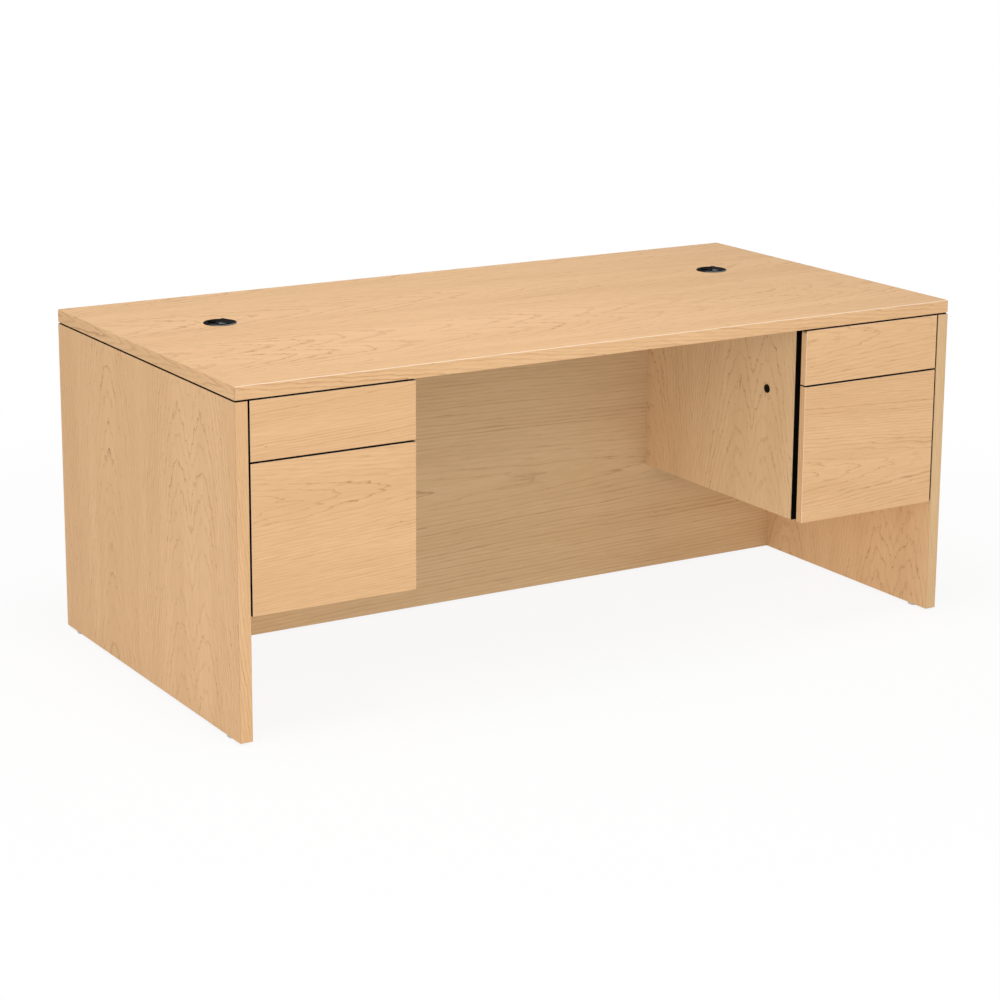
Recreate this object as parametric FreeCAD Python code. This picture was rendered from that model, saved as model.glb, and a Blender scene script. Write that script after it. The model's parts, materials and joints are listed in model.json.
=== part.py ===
import FreeCAD, Part
import math
import os

# Double-pedestal office desk in wood-pattern laminate.
# Frame: millimetres, +X to the sitter's right, +Y to the visitor's side, +Z up.
# The origin is on the floor under the middle of the desk, and the drawers open towards -Y.

# Overall size and boards
DESK_WIDTH = 1829.0
DESK_DEPTH = 914.0
DESK_HEIGHT = 749.0
TOP_THICKNESS = 28.6
END_PANEL_THICKNESS = 28.6
PANEL_THICKNESS = 19.0
PEDESTAL_BOARD = 16.0
TOP_EDGE_RADIUS = 2.0
TOP_CORNER_RADIUS = 3.0
PANEL_EDGE_RADIUS = 1.5

# Black reveal between the end panels and the top
REVEAL_HEIGHT = 4.0
REVEAL_INSET = 3.5

# Kneehole and pedestals
KNEEHOLE_DEPTH = 625.5
PEDESTAL_CLEARANCE = 269.5
CABLE_CHASE_DEPTH = 69.0
FINGER_GAP = 20.0
CHANNEL_WALL = 2.0
CHANNEL_COVE = 12.0
CHANNEL_CLEARANCE = 0.8
BOTTOM_SETBACK = 2.5

# Drawer fronts
FRONT_WIDTH = 378.5
FRONT_THICKNESS = 18.5
BOX_FRONT_HEIGHT = 126.3
FRONT_SIDE_GAP = 3.5
FRONT_TOP_GAP = 3.4
DRAWER_GAP = 3.2
FRONT_EDGE_RADIUS = 1.2

# Drawer boxes
DRAWER_WALL = 12.0
BOX_SIDE_RISE = 12.0
BOX_SIDE_DROP = 22.3
FILE_SIDE_RISE = 28.5
FILE_SIDE_DROP = 35.5
DRAWER_REAR_CLEARANCE = 22.0
DRAWER_BOTTOM = 5.0
BOTTOM_GROOVE_RISE = 9.0
BOTTOM_GROOVE_DEPTH = 6.0
BOTTOM_CLEARANCE = 0.15

# Telescopic slides, all of one sheet thickness
SLIDE_THICKNESS = 12.7
SLIDE_HEIGHT = 45.6
SLIDE_SHEET = 1.2
SLIDE_RUN = 0.4
SLIDE_FACE_CLEARANCE = 0.5
SLIDE_LIP = 3.0
SLIDE_LEG_CLEARANCE = 1.2
SLIDE_SETBACK = 3.0
SLIDE_REAR_GAP = 2.0
SLIDE_STOP_HEIGHT = 20.0
MEMBER_FRONT_GAP = 1.5
MIDDLE_FRONT_SETBACK = 2.0
MIDDLE_REAR_SETBACK = 20.0

# Hanging-folder rails on the file drawers
RAIL_WALL = 1.5
RAIL_GRIP = 12.0
RAIL_FIN_HEIGHT = 9.0
RAIL_FIN_THICKNESS = 2.0
RAIL_CLEARANCE = 0.15

# Gang lock on the kneehole side of each pedestal
LOCK_SETBACK = 141.4
LOCK_DROP = 30.5
LOCK_BARREL = 17.0
LOCK_LIP = 1.5
LOCK_LIP_THICKNESS = 1.5
LOCK_FIT = 0.1
PLUG_DIAMETER = 12.0
PLUG_PROUD = 0.5
KEYWAY_WIDTH = 1.8
KEYWAY_HEIGHT = 8.0
KEYWAY_DEPTH = 6.0
CRANK_THROW = 5.0
CRANK_PIN = 3.6
CRANK_RIM = 1.0
CRANK_THICKNESS = 1.5
CRANK_REST_ANGLE = -45.0
LOCK_BAR_WIDTH = 20.0
LOCK_BAR_THICKNESS = 4.6
LOCK_BAR_END = 12.0
LOCK_CLEARANCE = 0.4
STOP_PIN = 5.0
STOP_PIN_TIP_GAP = 4.2
STOP_PIN_RISE = 1.0
LUG_CLEARANCE = 1.5
LUG_HEIGHT = 8.0
LUG_THICKNESS = 2.0
LUG_WALL_GAP = 3.0
LUG_FOOT = 14.0
LUG_PLAY = 1.0

# Cable grommets in the top
GROMMET_FROM_SIDE = 250.0
GROMMET_HOLE = 60.0
GROMMET_FIT = 0.2
GROMMET_WALL = 2.0
GROMMET_FLANGE = 7.0
GROMMET_FLANGE_HEIGHT = 2.2
GROMMET_FLANGE_BEVEL = 1.5
GROMMET_LEDGE = 2.5
GROMMET_LEDGE_DEPTH = 5.0
GROMMET_LEDGE_THICKNESS = 2.0
SLEEVE_SHORT = 4.6
CAP_CLEARANCE = 0.3
CAP_LOW_TOP = 1.2
CAP_HOOD_TOP = 5.6
CAP_HOOD_LOW = 2.0
CAP_HOOD_CREST = 5.0
CAP_HOOD_BEVEL = 2.0
CAP_NOTCH_RADIUS = 9.5
CAP_NOTCH_CENTRE = 17.0
CAP_REST_ANGLE = -31.0

# Levelling glides under the end panels
GLIDE_LIFT = 5.0
GLIDE_ACROSS_FLATS = 25.0
GLIDE_INSET = 60.0
GLIDE_STEM = 8.0
GLIDE_STEM_LENGTH = 24.0
GLIDE_STEM_FIT = 0.1
INSERT_DIAMETER = 12.0
INSERT_LENGTH = 26.0

# Angle brackets that hold the top down
BRACKET_LEG = 25.0
BRACKET_WIDTH = 32.0
BRACKET_SHEET = 2.0
BRACKET_FRONT_FROM_EDGE = 157.0
BRACKET_PEDESTAL_FROM_EDGE = 307.0
BRACKET_MODESTY_FROM_MIDDLE = 350.0

SAME_PLACE = 1e-4

# Planes that several pieces share, for the right-hand half
HALF_WIDTH = DESK_WIDTH / 2
FRONT = -DESK_DEPTH / 2
BACK = DESK_DEPTH / 2
TOP_UNDERSIDE = DESK_HEIGHT - TOP_THICKNESS
END_TOP = TOP_UNDERSIDE - REVEAL_HEIGHT
END_INSIDE = HALF_WIDTH - END_PANEL_THICKNESS
FRONT_OUTER = END_INSIDE - FRONT_SIDE_GAP
KNEE_FACE = FRONT_OUTER - FRONT_WIDTH
SIDE_INSIDE = KNEE_FACE + PANEL_THICKNESS
FRONT_REAR = FRONT + FRONT_THICKNESS
SIDE_EDGE = FRONT_REAR + FINGER_GAP
MODESTY_FACE = FRONT + KNEEHOLE_DEPTH
MODESTY_REAR = MODESTY_FACE + PANEL_THICKNESS
CHASE_FACE = MODESTY_FACE - CABLE_CHASE_DEPTH
PEDESTAL_BACK_FACE = CHASE_FACE - PEDESTAL_BOARD
DRAWER_REAR = PEDESTAL_BACK_FACE - DRAWER_REAR_CLEARANCE
DRAWER_INNER = SIDE_INSIDE + SLIDE_THICKNESS
DRAWER_OUTER = END_INSIDE - SLIDE_THICKNESS
BOX_FRONT_TOP = TOP_UNDERSIDE - FRONT_TOP_GAP
BOX_FRONT_FOOT = BOX_FRONT_TOP - BOX_FRONT_HEIGHT
FILE_FRONT_TOP = BOX_FRONT_FOOT - DRAWER_GAP

# Height of each drawer's front and of its box, lowest and highest
FRONT_SPAN = {"box": (BOX_FRONT_FOOT, BOX_FRONT_TOP), "file": (PEDESTAL_CLEARANCE, FILE_FRONT_TOP)}
BOX_SPAN = {
    "box": (BOX_FRONT_FOOT + BOX_SIDE_RISE, BOX_FRONT_TOP - BOX_SIDE_DROP),
    "file": (PEDESTAL_CLEARANCE + FILE_SIDE_RISE, FILE_FRONT_TOP - FILE_SIDE_DROP),
}
SLIDE_CENTRE = {kind: sum(span) / 2 for kind, span in BOX_SPAN.items()}

# Slide walls: the face that a slide is screwed to, and the way towards the drawer
KNEE_WALL = (SIDE_INSIDE, 1)
END_WALL = (END_INSIDE, -1)

# Lock axis and the levels of its bar
LOCK_Y = FRONT + LOCK_SETBACK
LOCK_Z = FILE_FRONT_TOP - LOCK_DROP
STOP_PIN_LIFT = SLIDE_HEIGHT / 2 + STOP_PIN_RISE + STOP_PIN / 2
LUG_FOOT_LIFT = STOP_PIN_LIFT + STOP_PIN / 2 + LUG_CLEARANCE
LOCK_TRAVEL = 2 * CRANK_THROW * math.sin(math.radians(-CRANK_REST_ANGLE))
LOCK_GROOVE_DEPTH = LOCK_BAR_THICKNESS + CRANK_THICKNESS + 3 * LOCK_CLEARANCE
LOCK_GROOVE_FLOOR = SIDE_INSIDE - LOCK_GROOVE_DEPTH
LOCK_BAR_FACE = SIDE_INSIDE - LOCK_CLEARANCE
LOCK_BAR_REAR = LOCK_BAR_FACE - LOCK_BAR_THICKNESS
LOCK_BAR_FOOT = SLIDE_CENTRE["file"] + STOP_PIN_LIFT - LOCK_BAR_END
LOCK_BAR_HEAD = SLIDE_CENTRE["box"] + STOP_PIN_LIFT + LOCK_BAR_END


def at(x, y, z):
    return FreeCAD.Vector(x, y, z)


def block(xs, ys, zs):
    """A box between the lowest and highest value on each axis."""
    size = [pair[1] - pair[0] for pair in (xs, ys, zs)]
    return Part.makeBox(size[0], size[1], size[2], at(xs[0], ys[0], zs[0]))


def rod(diameter, start, length, direction):
    return Part.makeCylinder(diameter / 2, length, start, direction)


def edges_on(shape, axis, value):
    """The edges that lie in the plane where the given axis has this value."""
    def inside(edge):
        return all(abs(getattr(end.Point, axis) - value) < SAME_PLACE for end in edge.Vertexes)
    return [edge for edge in shape.Edges if inside(edge)]


def upright_edges(shape):
    def upright(edge):
        return abs(edge.tangentAt(edge.FirstParameter).z) > 1 - SAME_PLACE
    return [edge for edge in shape.Edges if upright(edge)]


def turned(profile):
    """A solid of revolution about Z from points (radius, height)."""
    points = [at(radius, 0, height) for radius, height in profile]
    outline = Part.makePolygon(points + points[:1])
    return Part.Face(outline).revolve(at(0, 0, 0), at(0, 0, 1), 360)


def hexagon(across_flats):
    """A face at the origin, with two of its flats square to X."""
    corner = across_flats / 2 / math.cos(math.pi / 6)
    turns = [math.pi / 6 + math.pi / 3 * step for step in range(7)]
    points = [at(corner * math.cos(turn), corner * math.sin(turn), 0) for turn in turns]
    return Part.Face(Part.makePolygon(points))


def mirrored(shape):
    return shape.mirror(at(0, 0, 0), at(1, 0, 0))


# The top and what stands under it

def grommet_places():
    """The centre of each grommet, over the cable chase behind the drawers."""
    y = MODESTY_FACE - CABLE_CHASE_DEPTH / 2
    x = HALF_WIDTH - GROMMET_FROM_SIDE
    return {"left": at(-x, y, DESK_HEIGHT), "right": at(x, y, DESK_HEIGHT)}


def desk_top():
    slab = block((-HALF_WIDTH, HALF_WIDTH), (FRONT, BACK), (TOP_UNDERSIDE, DESK_HEIGHT))
    slab = slab.makeFillet(TOP_CORNER_RADIUS, upright_edges(slab))
    slab = slab.makeFillet(TOP_EDGE_RADIUS, edges_on(slab, "z", DESK_HEIGHT))
    for place in grommet_places().values():
        slab = slab.cut(rod(GROMMET_HOLE, place, TOP_THICKNESS, at(0, 0, -1)))
    return slab


def glide_places():
    """The foot of each glide, on the floor under the right-hand end panel."""
    x = HALF_WIDTH - END_PANEL_THICKNESS / 2
    return {"front": at(x, FRONT + GLIDE_INSET, 0), "back": at(x, BACK - GLIDE_INSET, 0)}


def end_panel():
    board = block((END_INSIDE, HALF_WIDTH), (FRONT, BACK), (GLIDE_LIFT, END_TOP))
    board = board.makeFillet(PANEL_EDGE_RADIUS, upright_edges(board))
    for place in glide_places().values():
        foot = place + at(0, 0, GLIDE_LIFT)
        board = board.cut(rod(INSERT_DIAMETER, foot, INSERT_LENGTH, at(0, 0, 1)))
    return board


def glide_inserts():
    """Bushes in the lower edge of the end panel, one for each glide's stem."""
    bushes = []
    for place in glide_places().values():
        foot = place + at(0, 0, GLIDE_LIFT)
        bush = rod(INSERT_DIAMETER, foot, INSERT_LENGTH, at(0, 0, 1))
        bore = rod(GLIDE_STEM + 2 * GLIDE_STEM_FIT, foot, INSERT_LENGTH, at(0, 0, 1))
        bushes.append(bush.cut(bore))
    return bushes


def glide(place):
    """A hexagonal foot, which a spanner turns, with its stem screwed fully in."""
    foot = hexagon(GLIDE_ACROSS_FLATS).extrude(at(0, 0, GLIDE_LIFT))
    stem = rod(GLIDE_STEM, at(0, 0, 0), GLIDE_LIFT + GLIDE_STEM_LENGTH, at(0, 0, 1))
    return foot.fuse(stem).removeSplitter().translated(place)


def modesty_panel():
    return block((-END_INSIDE, END_INSIDE), (MODESTY_FACE, MODESTY_REAR), (GLIDE_LIFT, TOP_UNDERSIDE))


def reveal_strip():
    return block(
        (END_INSIDE + REVEAL_INSET, HALF_WIDTH - REVEAL_INSET),
        (FRONT + REVEAL_INSET, BACK - REVEAL_INSET),
        (END_TOP, TOP_UNDERSIDE),
    )


# Pedestal carcass

def pedestal_side():
    """The kneehole side of the pedestal, with the lock's hole and the groove for its bar."""
    board = block((KNEE_FACE, SIDE_INSIDE), (SIDE_EDGE, MODESTY_FACE), (PEDESTAL_CLEARANCE, TOP_UNDERSIDE))
    half_groove = LOCK_BAR_WIDTH / 2 + LOCK_CLEARANCE
    groove = block(
        (LOCK_GROOVE_FLOOR, SIDE_INSIDE),
        (LOCK_Y - half_groove, LOCK_Y + half_groove),
        (LOCK_BAR_FOOT - LOCK_CLEARANCE, LOCK_BAR_HEAD + LOCK_TRAVEL + LOCK_CLEARANCE),
    )
    hole = rod(LOCK_BARREL + 2 * LOCK_FIT, at(KNEE_FACE, LOCK_Y, LOCK_Z), PANEL_THICKNESS, at(1, 0, 0))
    return board.cut(groove).cut(hole)


def pedestal_back():
    return block(
        (SIDE_INSIDE, END_INSIDE),
        (PEDESTAL_BACK_FACE, CHASE_FACE),
        (PEDESTAL_CLEARANCE, TOP_UNDERSIDE),
    )


def pedestal_bottom():
    return block(
        (SIDE_INSIDE, END_INSIDE),
        (FRONT_REAR + BOTTOM_SETBACK, PEDESTAL_BACK_FACE),
        (PEDESTAL_CLEARANCE, PEDESTAL_CLEARANCE + PEDESTAL_BOARD),
    )


def finger_channel():
    """The black moulding behind the drawer fronts' inner edge: a coved corner, open to the kneehole."""
    tip = FRONT_REAR + CHANNEL_CLEARANCE
    wall_x = SIDE_INSIDE - CHANNEL_WALL
    wall_y = SIDE_EDGE - CHANNEL_WALL
    cove = min(CHANNEL_COVE, wall_x - KNEE_FACE - CHANNEL_WALL, wall_y - tip - CHANNEL_WALL)
    cove_middle = cove * (1 - math.sqrt(0.5))
    z = PEDESTAL_CLEARANCE
    before_cove = at(wall_x, wall_y - cove, z)
    after_cove = at(wall_x - cove, wall_y, z)
    arc = Part.Arc(before_cove, at(wall_x - cove_middle, wall_y - cove_middle, z), after_cove)
    rest = Part.makePolygon([
        after_cove, at(KNEE_FACE, wall_y, z), at(KNEE_FACE, SIDE_EDGE, z), at(SIDE_INSIDE, SIDE_EDGE, z),
        at(SIDE_INSIDE, tip, z), at(wall_x, tip, z), before_cove,
    ])
    outline = Part.Wire([arc.toShape()] + rest.Edges)
    return Part.Face(outline).extrude(at(0, 0, TOP_UNDERSIDE - z))


# Telescopic slides: sections as (distance from the wall, height from the slide's middle)

def channel_section(rear, face, half_height):
    """A lipped channel that opens towards the drawer."""
    lip_end = half_height - SLIDE_SHEET - SLIDE_LIP
    upper = [
        (rear + SLIDE_SHEET, half_height - SLIDE_SHEET), (face - SLIDE_SHEET, half_height - SLIDE_SHEET),
        (face - SLIDE_SHEET, lip_end), (face, lip_end), (face, half_height), (rear, half_height),
    ]
    lower = [(distance, -height) for distance, height in reversed(upper)]
    return upper + lower


def hat_section(channel_face, channel_half_height):
    """The drawer's member: a hat whose brim runs behind the lips of the channel round it."""
    inside = channel_half_height - SLIDE_SHEET
    brim_face = channel_face - SLIDE_SHEET - SLIDE_RUN
    brim_rear = brim_face - SLIDE_SHEET
    brim = inside - SLIDE_RUN
    leg = inside - SLIDE_LIP - SLIDE_LEG_CLEARANCE
    crown = SLIDE_THICKNESS
    upper = [
        (crown, leg), (brim_face, leg), (brim_face, brim), (brim_rear, brim),
        (brim_rear, leg - SLIDE_SHEET), (crown - SLIDE_SHEET, leg - SLIDE_SHEET),
    ]
    lower = [(distance, -height) for distance, height in reversed(upper)]
    return upper + lower


OUTER_FACE = SLIDE_THICKNESS - SLIDE_SHEET - SLIDE_FACE_CLEARANCE
OUTER_HALF = SLIDE_HEIGHT / 2
MIDDLE_REAR = SLIDE_SHEET + SLIDE_RUN
MIDDLE_FACE = OUTER_FACE - SLIDE_SHEET - SLIDE_RUN
MIDDLE_HALF = OUTER_HALF - SLIDE_SHEET - SLIDE_RUN
SLIDE_FRONT = SIDE_EDGE + SLIDE_SETBACK
SLIDE_REAR = PEDESTAL_BACK_FACE - SLIDE_REAR_GAP


def runner(section, wall, centre, ys):
    """One member of a slide, as its section drawn along Y."""
    face_x, way = wall
    points = [at(face_x + way * distance, ys[0], centre + height) for distance, height in section]
    outline = Part.makePolygon(points + points[:1])
    return Part.Face(outline).extrude(at(0, ys[1] - ys[0], 0))


def by_wall(wall, near, far):
    """The lowest and highest X of a strip that lies between two distances from a wall."""
    face_x, way = wall
    return tuple(sorted((face_x + way * near, face_x + way * far)))


def cabinet_member(kind, wall):
    """The fixed channel, with a bent stop at its rear end."""
    centre = SLIDE_CENTRE[kind]
    section = channel_section(0, OUTER_FACE, OUTER_HALF)
    channel = runner(section, wall, centre, (SLIDE_FRONT, SLIDE_REAR))
    stop = block(
        by_wall(wall, 0, OUTER_FACE),
        (SLIDE_REAR - SLIDE_SHEET, SLIDE_REAR),
        (centre - SLIDE_STOP_HEIGHT / 2, centre + SLIDE_STOP_HEIGHT / 2),
    )
    return channel.fuse(stop).removeSplitter()


def middle_member(wall):
    """The channel between the two others, which makes the file drawer's slide a full-extension one."""
    section = channel_section(MIDDLE_REAR, MIDDLE_FACE, MIDDLE_HALF)
    ys = (SLIDE_FRONT + MIDDLE_FRONT_SETBACK, SLIDE_REAR - MIDDLE_REAR_SETBACK)
    return runner(section, wall, SLIDE_CENTRE["file"], ys)


def lock_lug(centre):
    """A tab that rises beside the slide and turns across the path of the lock bar's pin."""
    front = LOCK_Y + STOP_PIN / 2 + LUG_PLAY
    lift = (centre + LUG_FOOT_LIFT, centre + LUG_FOOT_LIFT + LUG_HEIGHT)
    tab = block(
        by_wall(KNEE_WALL, SLIDE_THICKNESS - SLIDE_SHEET, SLIDE_THICKNESS),
        (front, front + LUG_FOOT),
        (centre, lift[1]),
    )
    tooth = block(by_wall(KNEE_WALL, LUG_WALL_GAP, SLIDE_THICKNESS), (front, front + LUG_THICKNESS), lift)
    return tab.fuse(tooth)


def drawer_members(kind):
    """The two hats on the drawer's sides, the kneehole one with the lock's lug."""
    channel = {"box": (OUTER_FACE, OUTER_HALF), "file": (MIDDLE_FACE, MIDDLE_HALF)}[kind]
    section = hat_section(channel[0], channel[1])
    ys = (FRONT_REAR + MEMBER_FRONT_GAP, DRAWER_REAR)
    centre = SLIDE_CENTRE[kind]
    knee_side = runner(section, KNEE_WALL, centre, ys).fuse(lock_lug(centre)).removeSplitter()
    return [knee_side, runner(section, END_WALL, centre, ys)]


# Drawers

def drawer_front(kind):
    board = block((KNEE_FACE, FRONT_OUTER), (FRONT, FRONT_REAR), FRONT_SPAN[kind])
    return board.makeFillet(FRONT_EDGE_RADIUS, edges_on(board, "y", FRONT))


def bottom_levels(kind):
    foot = BOX_SPAN[kind][0] + BOTTOM_GROOVE_RISE
    return foot, foot + DRAWER_BOTTOM


def bottom_width():
    reach = DRAWER_WALL - BOTTOM_GROOVE_DEPTH + BOTTOM_CLEARANCE
    return DRAWER_INNER + reach, DRAWER_OUTER - reach


def drawer_sides(kind):
    """The kneehole side and the outer side, each grooved for the bottom."""
    foot, top = bottom_levels(kind)
    ys = (FRONT_REAR, DRAWER_REAR)
    groove = block(
        (DRAWER_INNER + DRAWER_WALL - BOTTOM_GROOVE_DEPTH, DRAWER_OUTER - DRAWER_WALL + BOTTOM_GROOVE_DEPTH),
        ys,
        (foot - BOTTOM_CLEARANCE, top + BOTTOM_CLEARANCE),
    )
    knee_side = block((DRAWER_INNER, DRAWER_INNER + DRAWER_WALL), ys, BOX_SPAN[kind])
    outer_side = block((DRAWER_OUTER - DRAWER_WALL, DRAWER_OUTER), ys, BOX_SPAN[kind])
    return knee_side.cut(groove), outer_side.cut(groove)


def drawer_back(kind):
    """The back stands on the bottom, between the sides."""
    return block(
        (DRAWER_INNER + DRAWER_WALL, DRAWER_OUTER - DRAWER_WALL),
        (DRAWER_REAR - DRAWER_WALL, DRAWER_REAR),
        (bottom_levels(kind)[1], BOX_SPAN[kind][1]),
    )


def drawer_bottom(kind):
    return block(bottom_width(), (FRONT_REAR, DRAWER_REAR), bottom_levels(kind))


def folder_rails():
    """Clips on the file drawer's sides, with an upright fin that folder hooks hang from."""
    ys = (FRONT_REAR, DRAWER_REAR - DRAWER_WALL)
    side_top = BOX_SPAN["file"][1]
    rails = []
    for inside_x, way in ((DRAWER_INNER + DRAWER_WALL, -1), (DRAWER_OUTER - DRAWER_WALL, 1)):
        inner = inside_x - way * (RAIL_CLEARANCE + RAIL_WALL)
        outer = inside_x + way * (DRAWER_WALL + RAIL_CLEARANCE + RAIL_WALL)
        fin = inner + way * RAIL_FIN_THICKNESS
        crown = side_top + RAIL_WALL
        grip = side_top - RAIL_GRIP
        profile = [
            (inner, grip), (inner, crown + RAIL_FIN_HEIGHT), (fin, crown + RAIL_FIN_HEIGHT), (fin, crown),
            (outer, crown), (outer, grip), (outer - way * RAIL_WALL, grip),
            (outer - way * RAIL_WALL, side_top), (inner + way * RAIL_WALL, side_top),
            (inner + way * RAIL_WALL, grip),
        ]
        points = [at(x, ys[0], z) for x, z in profile]
        outline = Part.makePolygon(points + points[:1])
        rails.append(Part.Face(outline).extrude(at(0, ys[1] - ys[0], 0)))
    return rails


# Gang lock: the plug's crank lifts a bar, whose pins then stand before the drawers' lugs

def lock_housing():
    lip = LOCK_BARREL + 2 * LOCK_LIP
    axis = at(1, 0, 0)
    face = at(KNEE_FACE - LOCK_LIP_THICKNESS, LOCK_Y, LOCK_Z)
    barrel_length = LOCK_GROOVE_FLOOR - KNEE_FACE + LOCK_LIP_THICKNESS
    housing = rod(lip, face, LOCK_LIP_THICKNESS, axis).fuse(rod(LOCK_BARREL, face, barrel_length, axis))
    bore = rod(PLUG_DIAMETER + 2 * LOCK_FIT, face, barrel_length, axis)
    return housing.cut(bore).removeSplitter()


def crank_pin_place():
    """The crank pin's offset from the lock's axis, as drawn, with the drawers free."""
    angle = math.radians(CRANK_REST_ANGLE)
    return CRANK_THROW * math.cos(angle), CRANK_THROW * math.sin(angle)


def lock_plug():
    axis = at(1, 0, 0)
    start = KNEE_FACE - LOCK_LIP_THICKNESS - PLUG_PROUD
    crank = LOCK_GROOVE_FLOOR + LOCK_CLEARANCE
    crank_diameter = 2 * (CRANK_THROW + CRANK_RIM) + CRANK_PIN
    offset_y, offset_z = crank_pin_place()
    plug = rod(PLUG_DIAMETER, at(start, LOCK_Y, LOCK_Z), crank - start, axis)
    disc = rod(crank_diameter, at(crank, LOCK_Y, LOCK_Z), CRANK_THICKNESS, axis)
    pin_foot = crank + CRANK_THICKNESS
    pin_start = at(pin_foot, LOCK_Y + offset_y, LOCK_Z + offset_z)
    pin = rod(CRANK_PIN, pin_start, LOCK_BAR_FACE - pin_foot, axis)
    keyway = block(
        (start, start + KEYWAY_DEPTH),
        (LOCK_Y - KEYWAY_WIDTH / 2, LOCK_Y + KEYWAY_WIDTH / 2),
        (LOCK_Z - KEYWAY_HEIGHT / 2, LOCK_Z + KEYWAY_HEIGHT / 2),
    )
    return plug.cut(keyway).fuse(disc).fuse(pin).removeSplitter()


def lock_bar():
    """A flat bar in the groove, with a slot for the crank pin and one stop pin for each drawer."""
    half = LOCK_BAR_WIDTH / 2
    bar = block(
        (LOCK_BAR_REAR, LOCK_BAR_FACE),
        (LOCK_Y - half, LOCK_Y + half),
        (LOCK_BAR_FOOT, LOCK_BAR_HEAD),
    )
    offset_y, offset_z = crank_pin_place()
    slot_reach = CRANK_PIN / 2 + LOCK_CLEARANCE
    slot = block(
        (LOCK_BAR_REAR, LOCK_BAR_FACE),
        (LOCK_Y + offset_y - slot_reach, LOCK_Y + CRANK_THROW + slot_reach),
        (LOCK_Z + offset_z - slot_reach, LOCK_Z + offset_z + slot_reach),
    )
    bar = bar.cut(slot)
    tip = SIDE_INSIDE + SLIDE_THICKNESS - STOP_PIN_TIP_GAP
    for centre in SLIDE_CENTRE.values():
        foot = at(LOCK_BAR_REAR, LOCK_Y, centre + STOP_PIN_LIFT)
        bar = bar.fuse(rod(STOP_PIN, foot, tip - LOCK_BAR_REAR, at(1, 0, 0)))
    return bar.removeSplitter()


# Cable grommets, drawn about their own axis with the desk's surface at zero

SLEEVE_RADIUS = GROMMET_HOLE / 2 - GROMMET_FIT
SLEEVE_BORE = SLEEVE_RADIUS - GROMMET_WALL
CAP_RADIUS = SLEEVE_BORE - CAP_CLEARANCE


def grommet_sleeve():
    rim = GROMMET_HOLE / 2 + GROMMET_FLANGE
    lip = GROMMET_FLANGE_HEIGHT
    foot = SLEEVE_SHORT - TOP_THICKNESS
    ledge_foot = -GROMMET_LEDGE_DEPTH - GROMMET_LEDGE_THICKNESS
    return turned([
        (SLEEVE_BORE, lip), (rim - GROMMET_FLANGE_BEVEL, lip), (rim, lip - GROMMET_FLANGE_BEVEL), (rim, 0),
        (SLEEVE_RADIUS, 0), (SLEEVE_RADIUS, foot), (SLEEVE_BORE, foot), (SLEEVE_BORE, ledge_foot),
        (SLEEVE_BORE - GROMMET_LEDGE, ledge_foot), (SLEEVE_BORE - GROMMET_LEDGE, -GROMMET_LEDGE_DEPTH),
        (SLEEVE_BORE, -GROMMET_LEDGE_DEPTH),
    ])


def grommet_cap():
    """A turning cap: a low half with the cable notch, and a hood that falls from its mouth to the rim."""
    foot = -GROMMET_LEDGE_DEPTH
    disc = turned([(0, foot), (CAP_RADIUS, foot), (CAP_RADIUS, CAP_LOW_TOP), (0, CAP_LOW_TOP)])
    crown = turned([
        (0, foot), (CAP_RADIUS, foot), (CAP_RADIUS, CAP_HOOD_TOP - CAP_HOOD_BEVEL),
        (CAP_RADIUS - CAP_HOOD_BEVEL, CAP_HOOD_TOP), (0, CAP_HOOD_TOP),
    ])
    fall = [
        at(0, -CAP_RADIUS, foot), at(CAP_RADIUS, -CAP_RADIUS, foot), at(CAP_RADIUS, -CAP_RADIUS, CAP_HOOD_LOW),
        at(CAP_HOOD_CREST, -CAP_RADIUS, CAP_HOOD_TOP), at(0, -CAP_RADIUS, CAP_HOOD_TOP),
    ]
    wedge = Part.Face(Part.makePolygon(fall + fall[:1])).extrude(at(0, 2 * CAP_RADIUS, 0))
    cap = disc.fuse(crown.common(wedge))
    height = CAP_HOOD_TOP - foot
    notch = rod(2 * CAP_NOTCH_RADIUS, at(-CAP_NOTCH_CENTRE, 0, foot), height, at(0, 0, 1))
    mouth = block(
        (-CAP_RADIUS, -CAP_NOTCH_CENTRE),
        (-CAP_NOTCH_RADIUS, CAP_NOTCH_RADIUS),
        (foot, CAP_HOOD_TOP),
    )
    cap = cap.cut(notch).cut(mouth).removeSplitter()
    return cap.rotated(at(0, 0, 0), at(0, 0, 1), CAP_REST_ANGLE)


# Brackets: drawn at the origin against a wall that faces -X, under a ceiling at zero

def bracket():
    width = (-BRACKET_WIDTH / 2, BRACKET_WIDTH / 2)
    upright = block((-BRACKET_SHEET, 0), width, (-BRACKET_LEG, 0))
    level = block((-BRACKET_LEG, 0), width, (-BRACKET_SHEET, 0))
    return upright.fuse(level).removeSplitter()


def bracket_places():
    """Where each right-hand bracket stands, and its turn about Z from a wall that faces -X."""
    overhang_middle = (MODESTY_REAR + BACK) / 2
    return [
        (at(END_INSIDE, FRONT + BRACKET_FRONT_FROM_EDGE, TOP_UNDERSIDE), 0),
        (at(END_INSIDE, overhang_middle, TOP_UNDERSIDE), 0),
        (at(SIDE_INSIDE, FRONT + BRACKET_PEDESTAL_FROM_EDGE, TOP_UNDERSIDE), 180),
        (at(BRACKET_MODESTY_FROM_MIDDLE, MODESTY_REAR, TOP_UNDERSIDE), -90),
    ]


def top_brackets():
    brackets = []
    for place, turn in bracket_places():
        standing = bracket().rotated(at(0, 0, 0), at(0, 0, 1), turn).translated(place)
        brackets += [standing, mirrored(standing)]
    return brackets


# The whole desk, node by node

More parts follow.
